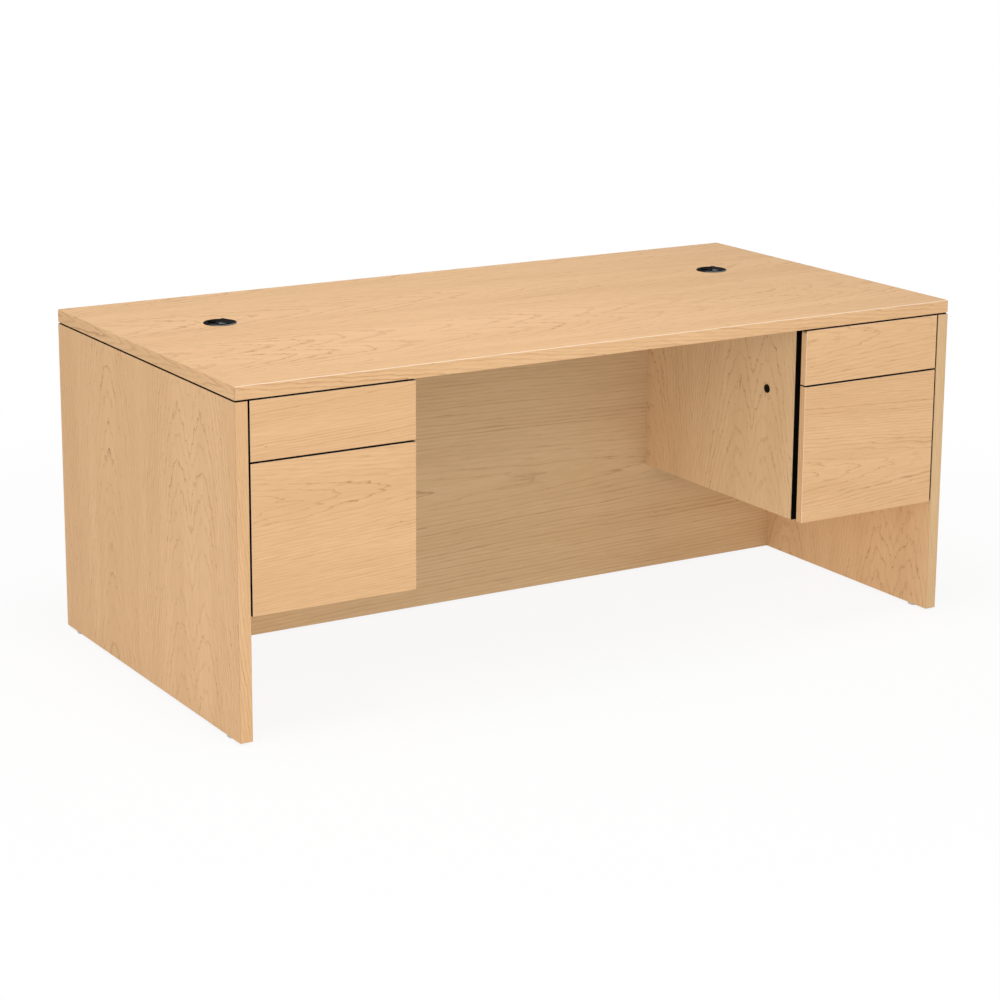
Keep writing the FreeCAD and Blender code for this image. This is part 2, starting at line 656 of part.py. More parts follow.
def pedestal_nodes(side):
    """Every node that a pedestal has, drawn on the right and mirrored for the left."""
    knee_hand, outer_hand = ("left", "right") if side == "right" else ("right", "left")
    walls = (KNEE_WALL, END_WALL)
    nodes = {
        "pedestal_side": [pedestal_side()],
        "pedestal_back": [pedestal_back()],
        "pedestal_bottom": [pedestal_bottom()],
        "finger_channel": [finger_channel()],
        "cabinet_slide_members": [cabinet_member(kind, wall) for kind in BOX_SPAN for wall in walls],
        "file_slide_middle_members": [middle_member(wall) for wall in walls],
        "file_drawer_folder_rails": folder_rails(),
        "lock_plug": [lock_plug()],
        "lock_bar": [lock_bar()],
    }
    for kind in BOX_SPAN:
        knee_side, outer_side = drawer_sides(kind)
        drawer = kind + "_drawer_"
        nodes[drawer + "front"] = [drawer_front(kind)]
        nodes[drawer + knee_hand + "_side"] = [knee_side]
        nodes[drawer + outer_hand + "_side"] = [outer_side]
        nodes[drawer + "back"] = [drawer_back(kind)]
        nodes[drawer + "bottom"] = [drawer_bottom(kind)]
        nodes[drawer + "slide_members"] = drawer_members(kind)
    hand = mirrored if side == "left" else (lambda shape: shape)
    return {side + "_" + name: [hand(solid) for solid in solids] for name, solids in nodes.items()}


def desk_nodes():
    inserts = glide_inserts()
    nodes = {
        "desk_top": [desk_top()],
        "left_end_panel": [mirrored(end_panel())],
        "right_end_panel": [end_panel()],
        "modesty_panel": [modesty_panel()],
        "left_reveal_strip": [mirrored(reveal_strip())],
        "right_reveal_strip": [reveal_strip()],
        "glide_inserts": [mirrored(bush) for bush in inserts] + inserts,
        "top_brackets": top_brackets(),
        "lock_housings": [mirrored(lock_housing()), lock_housing()],
        "grommet_sleeves": [grommet_sleeve().translated(place) for place in grommet_places().values()],
    }
    for end, place in glide_places().items():
        nodes[end + "_left_glide"] = [mirrored(glide(place))]
        nodes[end + "_right_glide"] = [glide(place)]
    for side, place in grommet_places().items():
        nodes[side + "_grommet_cap"] = [grommet_cap().translated(place)]
        nodes.update(pedestal_nodes(side))
    return nodes


os.makedirs("parts", exist_ok=True)
for node, solids in desk_nodes().items():
    shape = solids[0] if len(solids) == 1 else Part.makeCompound(solids)
    shape.exportStep("parts/" + node + ".step")
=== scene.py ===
# %% [markdown]
# # A double-pedestal desk in maple laminate
#
# The desk arrives as a finished construction: every board, slide, lock and glide is already in place, at
# its real size, in metres. This lesson gives each of them its finish, adds the small screws, and sets up
# the light and the camera. Nothing that came with the frame is moved or reshaped.

# %% Load the frame
import json
import math

import bmesh
import bpy
from mathutils import Matrix, Vector


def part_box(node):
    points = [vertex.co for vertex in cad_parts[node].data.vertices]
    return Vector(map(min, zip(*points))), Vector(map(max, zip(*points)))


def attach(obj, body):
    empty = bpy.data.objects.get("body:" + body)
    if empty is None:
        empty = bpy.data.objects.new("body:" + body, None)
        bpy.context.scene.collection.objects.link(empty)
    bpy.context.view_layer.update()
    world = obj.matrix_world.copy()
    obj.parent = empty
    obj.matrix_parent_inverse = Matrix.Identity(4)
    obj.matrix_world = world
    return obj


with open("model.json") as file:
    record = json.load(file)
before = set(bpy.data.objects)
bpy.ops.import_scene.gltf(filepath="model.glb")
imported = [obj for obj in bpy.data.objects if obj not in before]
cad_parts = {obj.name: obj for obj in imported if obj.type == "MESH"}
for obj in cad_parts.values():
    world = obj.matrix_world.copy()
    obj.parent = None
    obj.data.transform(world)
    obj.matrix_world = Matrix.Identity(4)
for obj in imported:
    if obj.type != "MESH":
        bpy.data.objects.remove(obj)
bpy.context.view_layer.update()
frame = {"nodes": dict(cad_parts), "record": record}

# %% [markdown]
# ## The camera
#
# The desk is seen from the sitter's left, from a little above standing height and through a long lens, so
# its edges run nearly parallel. Place, direction and lens were worked out from the corners of the top and
# of the end panels. The lens is shifted a little, as for buildings, which keeps the uprights closer to
# vertical. The rotation is built from three plain directions, which is easier to read than Euler angles:
# where the lens points, what is to its right, and what is up.

# %% Set up the camera
CAMERA_PLACE = Vector((-3.1102, -5.0586, 1.8999))
CAMERA_YAW = math.radians(31.393)
CAMERA_PITCH = math.radians(13.039)
CAMERA_ROLL = math.radians(0.337)
CAMERA_LENS = 95.18
SENSOR_WIDTH = 36.0
CAMERA_SHIFT = -0.1


def camera_rotation(yaw, pitch, roll):
    """Yaw turns from +Y towards +X, pitch points below the horizon, roll leans the camera to its left."""
    ahead = Vector((math.sin(yaw) * math.cos(pitch), math.cos(yaw) * math.cos(pitch), -math.sin(pitch)))
    level = Vector((math.cos(yaw), -math.sin(yaw), 0.0))
    raised = level.cross(ahead)
    right = level * math.cos(roll) + raised * math.sin(roll)
    up = raised * math.cos(roll) - level * math.sin(roll)
    return Matrix((right, up, -ahead)).transposed().to_4x4()


lens = bpy.data.cameras.new("desk_camera")
lens.lens = CAMERA_LENS
lens.sensor_width = SENSOR_WIDTH
lens.shift_y = CAMERA_SHIFT
camera = bpy.data.objects.new("desk_camera", lens)
turned = camera_rotation(CAMERA_YAW, CAMERA_PITCH, CAMERA_ROLL)
camera.matrix_world = Matrix.Translation(CAMERA_PLACE) @ turned
bpy.context.scene.collection.objects.link(camera)
bpy.context.scene.camera = camera
print("camera", [round(value, 3) for value in camera.location], "lens", CAMERA_LENS, "mm")

# %% [markdown]
# ## Short words for wiring shader nodes
#
# Every finish below is a network of shader nodes. Writing each node and link in full hides the idea
# behind the plumbing, so one small class gives it short words: a value that is a socket is linked, and any
# other value is set. An effect that several finishes share becomes a node group with named sockets.

# %% Define the node helper
# Numbers of the Mix node's sockets for one kind of value: its two inputs, and its output
MIX_COLOURS = (6, 7, 2)
MIX_VECTORS = (4, 5, 1)


class Graph:
    """Adds and links the nodes of one tree."""

    def __init__(self, tree):
        self.tree = tree

    def feed(self, socket, value):
        if isinstance(value, bpy.types.NodeSocket):
            self.tree.links.new(value, socket)
        else:
            socket.default_value = value

    def add(self, kind, values=None, **settings):
        made = self.tree.nodes.new("ShaderNode" + kind)
        for name, value in settings.items():
            setattr(made, name, value)
        for key, value in (values or {}).items():
            self.feed(made.inputs[key], value)
        return made

    def place(self, group, values):
        return self.add("Group", values, node_tree=group).outputs

    def math(self, operation, *values):
        return self.add("Math", dict(enumerate(values)), operation=operation).outputs[0]

    def step(self, value, low, high):
        """0 below low, 1 above high, and a soft step between."""
        limits = {"Value": value, "From Min": low, "From Max": high}
        return self.add("MapRange", limits, interpolation_type="SMOOTHSTEP").outputs[0]

    def spread(self, value, low, high):
        """Takes 0 to 1 onto low to high."""
        return self.add("MapRange", {"Value": value, "To Min": low, "To Max": high}).outputs[0]

    def point(self, x, y, z):
        return self.add("CombineXYZ", {"X": x, "Y": y, "Z": z}).outputs[0]

    def parts(self, vector):
        return self.add("SeparateXYZ", {"Vector": vector}).outputs

    def scaled(self, vector, sizes):
        return self.add("VectorMath", {0: vector, 1: sizes}, operation="MULTIPLY").outputs[0]

    def noise(self, vector, seed, detail=2.0):
        values = {"Vector": vector, "W": seed, "Scale": 1.0, "Detail": detail}
        return self.add("TexNoise", values, noise_dimensions="4D").outputs[0]

    def swing(self, vector, seed):
        """Noise that swings about zero."""
        return self.math("SUBTRACT", self.noise(vector, seed), 0.5)

    def mix(self, share, first, second, sockets, **settings):
        first_socket, second_socket, result = sockets
        values = {0: share, first_socket: first, second_socket: second}
        return self.add("Mix", values, **settings).outputs[result]

    def blend(self, share, first, second, blend_type="MIX"):
        return self.mix(share, first, second, MIX_COLOURS, data_type="RGBA", blend_type=blend_type)

    def choose(self, share, first, second):
        return self.mix(share, first, second, MIX_VECTORS, data_type="VECTOR")


print("node helper ready")

# %% [markdown]
# ## How a group and a finish begin
#
# A node group has to name its sockets before anything can be wired to them. A finish is a material, which
# Blender starts with a Principled shader, so only the inputs of that shader are wired. Relief that is too
# fine to model, such as wood fibre or moulded grain, goes through a Bump node.

# %% Define groups, finishes and relief
# How many numbers a socket of each kind holds
VALUE, VECTOR, COLOUR = 1, 3, 4
SOCKET_KINDS = {VALUE: "NodeSocketFloat", VECTOR: "NodeSocketVector", COLOUR: "NodeSocketColor"}


def new_group(name, inputs, outputs):
    """A shader node group: inputs gives each name a start value, and outputs each name's kind."""
    tree = bpy.data.node_groups.new(name, "ShaderNodeTree")
    for title, value in inputs.items():
        kind = len(value) if isinstance(value, tuple) else VALUE
        socket = tree.interface.new_socket(title, in_out="INPUT", socket_type=SOCKET_KINDS[kind])
        socket.default_value = value
    for title, kind in outputs.items():
        tree.interface.new_socket(title, in_out="OUTPUT", socket_type=SOCKET_KINDS[kind])
    graph = Graph(tree)
    return graph, tree.nodes.new("NodeGroupInput").outputs, tree.nodes.new("NodeGroupOutput").inputs


def new_finish(name):
    """A material with its Principled shader, and a graph to wire it with."""
    finish = bpy.data.materials.new(name)
    finish.use_nodes = True
    return finish, Graph(finish.node_tree), finish.node_tree.nodes["Principled BSDF"].inputs


def bumped(graph, shader, height, strength, distance):
    """Fine relief, as deep as distance in metres."""
    bump = graph.add("Bump", {"Strength": strength, "Distance": distance, "Height": height})
    graph.feed(shader["Normal"], bump.outputs[0])


print("kinds of socket:", ", ".join(SOCKET_KINDS.values()))

# %% [markdown]
# ## World and floor
#
# The desk stands in a bright white studio. The world is a plain white that lights all sides alike. Through
# the Light Path node the camera and the reflections see it at full white, brighter than the light it gives.
# Lamps strong enough to whiten a plain matt floor would burn out the desk, so the floor is a light table,
# which glows itself. As the camera sees it, a tenth of it close to the desk is matt and takes the desk's
# soft shadow. For the light that it sends up it is half matt and half a stronger glow, so less light comes
# from the shaded floor below the desk, as on a real floor.

# %% Make the world and the floor
WHITE = (1.0, 1.0, 1.0, 1.0)
WORLD_STRENGTH = 0.30
FLOOR_COLOUR = (0.95, 0.95, 0.95, 1.0)
FLOOR_SIZE = 60.0
# The glow's share close to the desk, as the camera sees it, and the distances over which it rises to 1
FLOOR_GLOW = 0.90
FLOOR_SHADOW_REACH = (0.9, 2.6)
# The glow's share and strength in the light that the floor sends up
FLOOR_LIGHT = 0.50
FLOOR_SHINE = 1.45


def seen_directly(graph):
    """1 for rays from the camera, a reflection or a clear body, and 0 for rays that carry light."""
    path = graph.add("LightPath").outputs
    mirrored = graph.math("MAXIMUM", path["Is Glossy Ray"], path["Is Transmission Ray"])
    return graph.math("MAXIMUM", path["Is Camera Ray"], mirrored)


def white_world():
    world = bpy.data.worlds.new("white_studio")
    world.use_nodes = True
    world.node_tree.nodes.clear()
    graph = Graph(world.node_tree)
    light = graph.add("Background", {"Color": WHITE, "Strength": WORLD_STRENGTH})
    seen = graph.add("Background", {"Color": WHITE, "Strength": 1.0})
    both = graph.add("MixShader", {0: seen_directly(graph), 1: light.outputs[0], 2: seen.outputs[0]})
    graph.add("OutputWorld", {"Surface": both.outputs[0]})
    bpy.context.scene.world = world


def floor_finish():
    finish = bpy.data.materials.new("studio_floor")
    finish.use_nodes = True
    finish.node_tree.nodes.clear()
    graph = Graph(finish.node_tree)
    matt = graph.add("BsdfDiffuse", {"Color": FLOOR_COLOUR})
    seen = seen_directly(graph)
    glow = graph.add("Emission", {"Color": WHITE, "Strength": graph.spread(seen, FLOOR_SHINE, 1.0)})
    place = graph.add("TexCoord").outputs["Object"]
    distance = graph.add("VectorMath", {0: place}, operation="LENGTH").outputs["Value"]
    glow_share = graph.spread(graph.step(distance, *FLOOR_SHADOW_REACH), FLOOR_GLOW, 1.0)
    share = graph.spread(seen, FLOOR_LIGHT, glow_share)
    both = graph.add("MixShader", {0: share, 1: matt.outputs[0], 2: glow.outputs[0]})
    graph.add("OutputMaterial", {"Surface": both.outputs[0]})
    return finish


def studio_floor():
    mesh = bpy.data.meshes.new("studio_floor")
    corners = [(-1, -1), (1, -1), (1, 1), (-1, 1)]
    mesh.from_pydata([(x * FLOOR_SIZE, y * FLOOR_SIZE, 0.0) for x, y in corners], [], [(0, 1, 2, 3)])
    mesh.materials.append(floor_finish())
    floor = bpy.data.objects.new("studio_floor", mesh)
    bpy.context.scene.collection.objects.link(floor)


bpy.context.scene.view_settings.view_transform = "Standard"
white_world()
studio_floor()
print("world at", WORLD_STRENGTH, "and a floor of", 2 * FLOOR_SIZE, "m")

# %% [markdown]
# ## Softboxes
#
# Four softboxes look at the middle of the desk. A large one overhead makes the top the brightest face. A
# high one in front lights the drawer fronts, a small low one beside it shines into the kneehole, and one on
# the left fills the end panel. Area lamps are used because their broad light leaves soft shadows.

# %% Hang the softboxes
DESK_MIDDLE = Vector((0.0, 0.0, 0.45))
SOFTBOXES = {
    "overhead_softbox": {"place": Vector((-0.6, -0.4, 4.2)), "size": (2.6, 1.8), "watts": 96.0},
    "front_softbox": {"place": Vector((1.1, -4.4, 2.8)), "size": (2.0, 1.6), "watts": 36.0},
    "low_softbox": {"place": Vector((-0.8, -4.6, 1.15)), "size": (0.9, 0.7), "watts": 15.0},
    "left_softbox": {"place": Vector((-4.6, -2.4, 1.5)), "size": (2.0, 1.8), "watts": 50.0},
}


def softbox(name, place, size, watts):
    lamp = bpy.data.lights.new(name, "AREA")
    lamp.shape = "RECTANGLE"
    lamp.size, lamp.size_y = size
    lamp.energy = watts
    box = bpy.data.objects.new(name, lamp)
    box.location = place
    box.rotation_euler = (DESK_MIDDLE - place).to_track_quat("-Z", "Y").to_euler()
    bpy.context.scene.collection.objects.link(box)


for box_name, box in SOFTBOXES.items():
    softbox(box_name, **box)
print(len(SOFTBOXES), "softboxes")

# %% [markdown]
# ## Maple figure
#
# The boards are faced with a print of flat-sawn maple. Over the heart of the log the growth rings show as
# nested arches, and further out as straight parallel lines. A log is nearly a cone, and a board is a flat
# cut beside its axis, so a ring is counted by the distance from that axis, plus a little for the way along
# the grain: its contour lines are such arches. Leaves are folded about each other like the pages of a book,
# which the Ping-Pong operation does. Slow noise makes the arches sway, and fine noise gives them toothed
# tips. An image would be quicker, but a formula has no seams and no repeats.

# %% Build the rings of the maple figure
# How far a heart reaches to each side, and the slope and the rounding of the arches' tips over it
HEART_REACH = 0.05
HEART_TIP = 0.07
TIP_ROUNDING = 0.004
# How far the rings sway, tooth and vary in width
RING_SWAY = 0.028
RING_TEETH = 0.0090
RING_JITTER = 0.014
# Waves per metre of these three: along the grain, across it and through the board, or from ring to ring
SWAY_WAVES = (5.0, 9.0, 9.0)
TEETH_WAVES = (34.0, 120.0, 120.0)
JITTER_WAVES = 20.0


def heart_distance(graph, given, leaf):
    """How far a point of the leaf is from the nearer of its two hearts."""
    hearts = [given["Heart"], given["Second Heart"]]
    distances = [graph.math("ABSOLUTE", graph.math("SUBTRACT", leaf, heart)) for heart in hearts]
    return graph.math("MINIMUM", *distances)


def maple_rings(graph, given):
    """Counts the rings at a point, and measures how far apart they are and how near the heart is."""
    along, across, through = graph.parts(given["Point"])
    along = graph.math("MULTIPLY", along, given["Stretch"])
    leaf = graph.math("PINGPONG", graph.math("ADD", across, given["Fold"]), given["Leaf"])
    page = graph.point(along, leaf, through)
    beside = heart_distance(graph, given, leaf)
    reach = graph.math("DIVIDE", beside, HEART_REACH)
    heart = graph.math("DIVIDE", 1.0, graph.math("MULTIPLY_ADD", reach, reach, 1.0))
    depth = graph.math("MULTIPLY", given["Depth"], given["Depth"])
    radius = graph.math("SQRT", graph.math("MULTIPLY_ADD", beside, beside, depth))
    slope = graph.math("ADD", graph.math("DIVIDE", beside, radius), HEART_TIP)
    spacing = graph.math("DIVIDE", given["Ring Gap"], slope)
    tip = graph.math("SQRT", graph.math("MULTIPLY_ADD", beside, beside, TIP_ROUNDING ** 2))
    radius = graph.math("MULTIPLY_ADD", tip, HEART_TIP, radius)
    cone = graph.math("MULTIPLY_ADD", along, given["Rise"], graph.math("ADD", radius, through))
    sway = graph.swing(graph.scaled(page, SWAY_WAVES), given["Seed"])
    teeth = graph.swing(graph.scaled(page, TEETH_WAVES), given["Seed"])
    cone = graph.math("MULTIPLY_ADD", sway, graph.math("MULTIPLY", given["Sway"], RING_SWAY), cone)
    cone = graph.math("MULTIPLY_ADD", teeth, RING_TEETH, cone)
    year = graph.math("MULTIPLY", cone, JITTER_WAVES)
    jitter = graph.swing(graph.point(year, 0.0, 0.0), given["Seed"])
    cone = graph.math("MULTIPLY_ADD", jitter, RING_JITTER, cone)
    return graph.math("DIVIDE", cone, given["Ring Gap"]), spacing, heart, page


print("ring field ready, hearts reach", HEART_REACH, "m to each side")

# %% [markdown]
# ## Lines of late wood
#
# A ring ends in a thin dark line of late wood. Its darkness differs from ring to ring, is greatest at the
# hearts, and comes and goes along the grain. A power of the way through the ring draws it: dark comes up
# slowly and breaks off at once, as in wood, where a symmetric stripe would look drawn.

# %% Draw the lines
# The least and the greatest power, and the share of a ring at which its line breaks off
SOFTEST_LINE = 4.0
CRISPEST_LINE = 20.0
LINE_END = 0.94
# Strength of lines away from a heart, of the faintest ring, and of a line where it fades along the grain
STRAIGHT_LINES = 0.70
FAINTEST_RING = 0.35
FADED_LINE = 0.45
# The power that makes faint rings common
FAINT_RINGS = 1.6
FADE_WAVES = (5.0, 26.0, 26.0)
FADE_STEP = (0.34, 0.66)
FADE_SEED = 5.0


def maple_lines(graph, given):
    """The share of late wood at a point: each ring darkens towards its end, and then breaks off."""
    rings, spacing, heart, page = maple_rings(graph, given)
    phase = graph.math("FRACT", rings)
    number = graph.math("ADD", graph.math("FLOOR", rings), given["Seed"])
    chance = graph.add("TexWhiteNoise", {"W": number}, noise_dimensions="1D").outputs[0]
    strength = graph.spread(graph.math("POWER", chance, FAINT_RINGS), FAINTEST_RING, 1.0)
    start = graph.math("MAXIMUM", graph.math("DIVIDE", spacing, given["Line Width"]), SOFTEST_LINE)
    start = graph.math("MINIMUM", start, CRISPEST_LINE)
    rising = graph.math("MINIMUM", graph.math("DIVIDE", phase, LINE_END), 1.0)
    line = graph.math("MULTIPLY", graph.math("POWER", rising, start), graph.step(phase, 1.0, LINE_END))
    fade = graph.noise(graph.scaled(page, FADE_WAVES), graph.math("ADD", given["Seed"], FADE_SEED))
    lasting = graph.spread(graph.step(fade, *FADE_STEP), FADED_LINE, 1.0)
    share = graph.spread(heart, STRAIGHT_LINES, 1.0)
    strength = graph.math("MULTIPLY", strength, graph.math("MULTIPLY", share, lasting))
    strength = graph.math("MULTIPLY", strength, given["Contrast"])
    return graph.math("MINIMUM", graph.math("MULTIPLY", line, strength), 1.0)


print("lines break off at", LINE_END, "of a ring")

# %% [markdown]
# ## Ground, fibres and flecks
#
# Between the lines the ground drifts from pale to honey and carries fine fibres, and here and there a short
# dark pin fleck. All are noises and cells stretched along the grain. They make one group with the lines,
# and each board sets its own leaf, hearts and ring gap on that group.

# %% Build the maple figure group
MAPLE_LIGHT = (0.775, 0.492, 0.264, 1.0)
MAPLE_HONEY = (0.725, 0.448, 0.232, 1.0)
MAPLE_LINE = (0.430, 0.205, 0.090, 1.0)
FIBRE_DARK = (0.965, 0.957, 0.943, 1.0)
FIBRE_LIGHT = (1.030, 1.037, 1.050, 1.0)
STREAK_WAVES = (1.5, 17.0, 17.0)
STREAK_DETAIL = 3.0
STREAK_STEP = (0.30, 0.72)
FIBRE_WAVES = (22.0, 340.0, 340.0)
FIBRE_STEP = (0.3, 0.7)
FIBRE_ROUGHNESS = (0.40, 0.52)
FLECK_CELLS = (13.0, 44.0, 44.0)
FLECK_STEP = (0.075, 0.02)
FLECK_RARITY = 0.90
FLECK_SHARE = 0.6


def maple_flecks(graph, given):
    """Short dark pin marks, in a few of the cells of a stretched pattern."""
    cells = graph.add("TexVoronoi", {"Vector": graph.scaled(given["Point"], FLECK_CELLS), "Scale": 1.0})
    chance = graph.parts(cells.outputs["Color"])[0]
    dot = graph.step(cells.outputs["Distance"], *FLECK_STEP)
    return graph.math("MULTIPLY", dot, graph.math("GREATER_THAN", chance, FLECK_RARITY))


def maple_figure():
    graph, given, put = new_group(
        "maple figure",
        {
            "Point": (0.0, 0.0, 0.0), "Seed": 0.0, "Fold": 0.0, "Leaf": 0.42, "Heart": 0.055,
            "Second Heart": 0.42, "Depth": 0.18, "Ring Gap": 0.0070, "Rise": 0.115, "Stretch": 1.0,
            "Sway": 0.65, "Line Width": 0.0014, "Contrast": 1.1, "Tone": WHITE,
        },
        {"Colour": COLOUR, "Roughness": VALUE, "Height": VALUE},
    )
    streak = graph.noise(graph.scaled(given["Point"], STREAK_WAVES), given["Seed"], STREAK_DETAIL)
    fibre = graph.noise(graph.scaled(given["Point"], FIBRE_WAVES), given["Seed"])
    ground = graph.blend(graph.step(streak, *STREAK_STEP), MAPLE_LIGHT, MAPLE_HONEY)
    fibres = graph.blend(graph.step(fibre, *FIBRE_STEP), FIBRE_DARK, FIBRE_LIGHT)
    ground = graph.blend(1.0, ground, fibres, "MULTIPLY")
    colour = graph.blend(maple_lines(graph, given), ground, MAPLE_LINE)
    flecks = graph.math("MULTIPLY", maple_flecks(graph, given), FLECK_SHARE)
    colour = graph.blend(flecks, colour, MAPLE_LINE)
    # Tone multiplies the colour: on some boards it is painted light or shade
    graph.feed(put["Colour"], graph.blend(1.0, colour, given["Tone"], "MULTIPLY"))
    graph.feed(put["Roughness"], graph.spread(fibre, *FIBRE_ROUGHNESS))
    graph.feed(put["Height"], fibre)
    return graph.tree


MAPLE_FIGURE = maple_figure()
print("maple figure:", len(MAPLE_FIGURE.nodes), "nodes")

# %% [markdown]
# ## Gaps and arrises
#
# Two things are painted at the edges of a laminated board. The narrow gaps round the drawers are given
# painted shade, so they read as black lines: the Ambient Occlusion node measures how much of its
# surroundings a point sees within about a centimetre, which is under half only inside a gap, and there the
# base colour is painted nearly black. Drawer fronts meet nothing but gaps, so there the painted shade may
# start earlier, on the arris itself. And the rounded arrises carry a painted highlight, pale along the
# upper front arrises and on the drawer fronts' upright corners. The other upright corners are browner,
# where the edge band meets the face. Both are groups, since every board uses them.

# %% Build the gap and arris groups
GAP_REACH = 0.012
GAP_SAMPLES = 8
GAP_SOFTNESS = 0.16
# Painted shade: the near-black colour laid on inside a gap
GAP_PAINTED_SHADE = (0.004, 0.003, 0.002, 1.0)
PLAIN_OPEN = 0.5
# Steps in a part of the surface's direction, which is 1 where the surface faces straight along that axis
ROUNDED_STEP = (0.985, 0.85)
UPPER_STEP = (0.1, 0.4)
FRONT_STEP = (-0.15, -0.45)
UPRIGHT_STEP = (0.3, 0.1)
# Shares of the painted highlight on the upper front arrises, and of the Corner colour on upright corners
HIGHLIGHT_SHARE = 0.75
CORNER_SHARE = 0.6


def painted_gap_shade():
    graph, given, put = new_group("painted gap shade", {"Colour": WHITE, "Open": PLAIN_OPEN}, {"Colour": COLOUR})
    # Painted shade: where the occlusion falls below Open, the colour is painted nearly black
    occlusion = graph.add("AmbientOcclusion", {"Distance": GAP_REACH}, samples=GAP_SAMPLES)
    closed = graph.math("SUBTRACT", given["Open"], GAP_SOFTNESS)
    seen = graph.step(occlusion.outputs["AO"], closed, given["Open"])
    graph.feed(put["Colour"], graph.blend(seen, GAP_PAINTED_SHADE, given["Colour"]))
    return graph.tree


def arris_tone():
    colours = {"Colour": WHITE, "Painted Highlight": WHITE, "Corner": WHITE}
    graph, given, put = new_group("arris tone", colours, {"Colour": COLOUR})
    facing = graph.parts(graph.add("TexCoord").outputs["Normal"])
    sizes = [graph.math("ABSOLUTE", facing[axis]) for axis in "XYZ"]
    largest = graph.math("MAXIMUM", graph.math("MAXIMUM", sizes[0], sizes[1]), sizes[2])
    rounded = graph.step(largest, *ROUNDED_STEP)
    # Painted highlight: the upper front arrises are painted pale
    upper = graph.math("MULTIPLY", rounded, graph.step(facing["Z"], *UPPER_STEP))
    painted_highlight = graph.math("MULTIPLY", upper, graph.step(facing["Y"], *FRONT_STEP))
    # Upright corners take the Corner colour: a brown joint on most boards, a painted highlight on drawer
    # fronts
    corner = graph.math("MULTIPLY", rounded, graph.step(sizes[2], *UPRIGHT_STEP))
    highlighted = graph.blend(graph.math("MULTIPLY", painted_highlight, HIGHLIGHT_SHARE), given["Colour"], given["Painted Highlight"])
    highlight_and_joint = graph.blend(graph.math("MULTIPLY", corner, CORNER_SHARE), highlighted, given["Corner"])
    graph.feed(put["Colour"], highlight_and_joint)
    return graph.tree


PAINTED_GAP_SHADE = painted_gap_shade()
ARRIS_TONE = arris_tone()
print("gap reach", GAP_REACH, "m")

# %% [markdown]
# ## The leaf of each board
#
# Each board has its own cut of the figure, because no two boards come from the same leaf. The grain of the
# top, the pedestal bottoms, the drawer fronts and the modesty panel runs from side to side, and that of the
# end panels and pedestal sides stands upright. A table of numbers is enough, since every board uses the
# same group: what a board doesn't name keeps the group's own value. Three boards also name a Tone, which
# is painted light or shade on the same laminate.

# %% List the boards
# The axes along the grain, across it and through the board: on the faces, and then on the end bands
LEVEL_SLAB = ("XYZ", "YZX")
LEVEL_FRONT = ("XZY", "ZYX")
UPRIGHT_SIDE = ("ZYX", "YXZ")
# Painted light on the pedestal sides in the kneehole, and painted shade on the right end and modesty panels
PEDESTAL_PAINTED_LIGHT = (1.05, 1.14, 1.22, 1.0)
RIGHT_END_PAINTED_SHADE = (0.91, 0.96, 0.985, 1.0)
MODESTY_PAINTED_SHADE = (0.865, 0.95, 1.0, 1.0)
DRAWER_LEAF = {
    "Fold": 0.0, "Leaf": 1.0, "Second Heart": 0.99, "Depth": 0.07, "Ring Gap": 0.0062, "Stretch": 0.45,
    "Sway": 0.4, "Contrast": 0.85,
}
DRAWER_FRONTS = {
    "left_box_drawer_front": {"Seed": 40.6, "Heart": 0.80},
    "left_file_drawer_front": {"Seed": 47.2, "Heart": 0.50},
    "right_box_drawer_front": {"Seed": 52.8, "Heart": 0.69},
    "right_file_drawer_front": {"Seed": 59.5, "Heart": 0.38},
}
BOARDS = {
    "desk_top": (LEVEL_SLAB, {
        "Seed": 3.1, "Fold": 0.19, "Leaf": 0.36, "Second Heart": 0.36, "Stretch": 0.75, "Ring Gap": 0.0090,
        "Sway": 1.0, "Line Width": 0.0040, "Contrast": 1.25,
    }),
    "left_end_panel": (UPRIGHT_SIDE, {"Seed": 8.4, "Fold": 0.238}),
    "right_end_panel": (UPRIGHT_SIDE, {"Seed": 14.2, "Fold": 0.33, "Tone": RIGHT_END_PAINTED_SHADE}),
    "modesty_panel": (LEVEL_FRONT, {
        "Seed": 21.7, "Fold": 0.02, "Leaf": 0.9, "Heart": 0.30, "Second Heart": 0.30, "Depth": 0.08,
        "Ring Gap": 0.0090, "Stretch": 0.22, "Sway": 1.0, "Contrast": 1.15, "Tone": MODESTY_PAINTED_SHADE,
    }),
    "left_pedestal_side": (UPRIGHT_SIDE, {"Seed": 27.3, "Fold": 0.30, "Tone": PEDESTAL_PAINTED_LIGHT}),
    "right_pedestal_side": (UPRIGHT_SIDE, {"Seed": 33.9, "Fold": 0.26, "Tone": PEDESTAL_PAINTED_LIGHT}),
    "left_pedestal_bottom": (LEVEL_SLAB, {"Seed": 64.3, "Fold": 0.31}),
    "right_pedestal_bottom": (LEVEL_SLAB, {"Seed": 70.1, "Fold": 0.27}),
    **{name: (LEVEL_FRONT, {**leaf, **DRAWER_LEAF}) for name, leaf in DRAWER_FRONTS.items()},
}
print(len(BOARDS), "boards, of which", len(DRAWER_FRONTS), "drawer fronts")

# %% [markdown]
# ## Maple boards
#
# A laminated board is its figure, then the painted highlight and the brown joints of its arrises, then the
# painted shade of its gaps, one laid over the other. Edge bands are strips of their own, so on a board's
# end faces the grain turns to run along the edge. The face under the top carries a plain brown backing
# sheet, which keeps the board from bowing. One function makes each board's material, so all boards stay
# alike in everything but their leaf and, on three of them, a painted tone of light or shade.

# %% Finish the maple boards
END_FACING = 0.7
# The painted highlight of the arrises, and the brown of the edge band's joint
ARRIS_PAINTED_HIGHLIGHT = (0.95, 0.82, 0.68, 1.0)
ARRIS_BROWN = (0.42, 0.25, 0.13, 1.0)
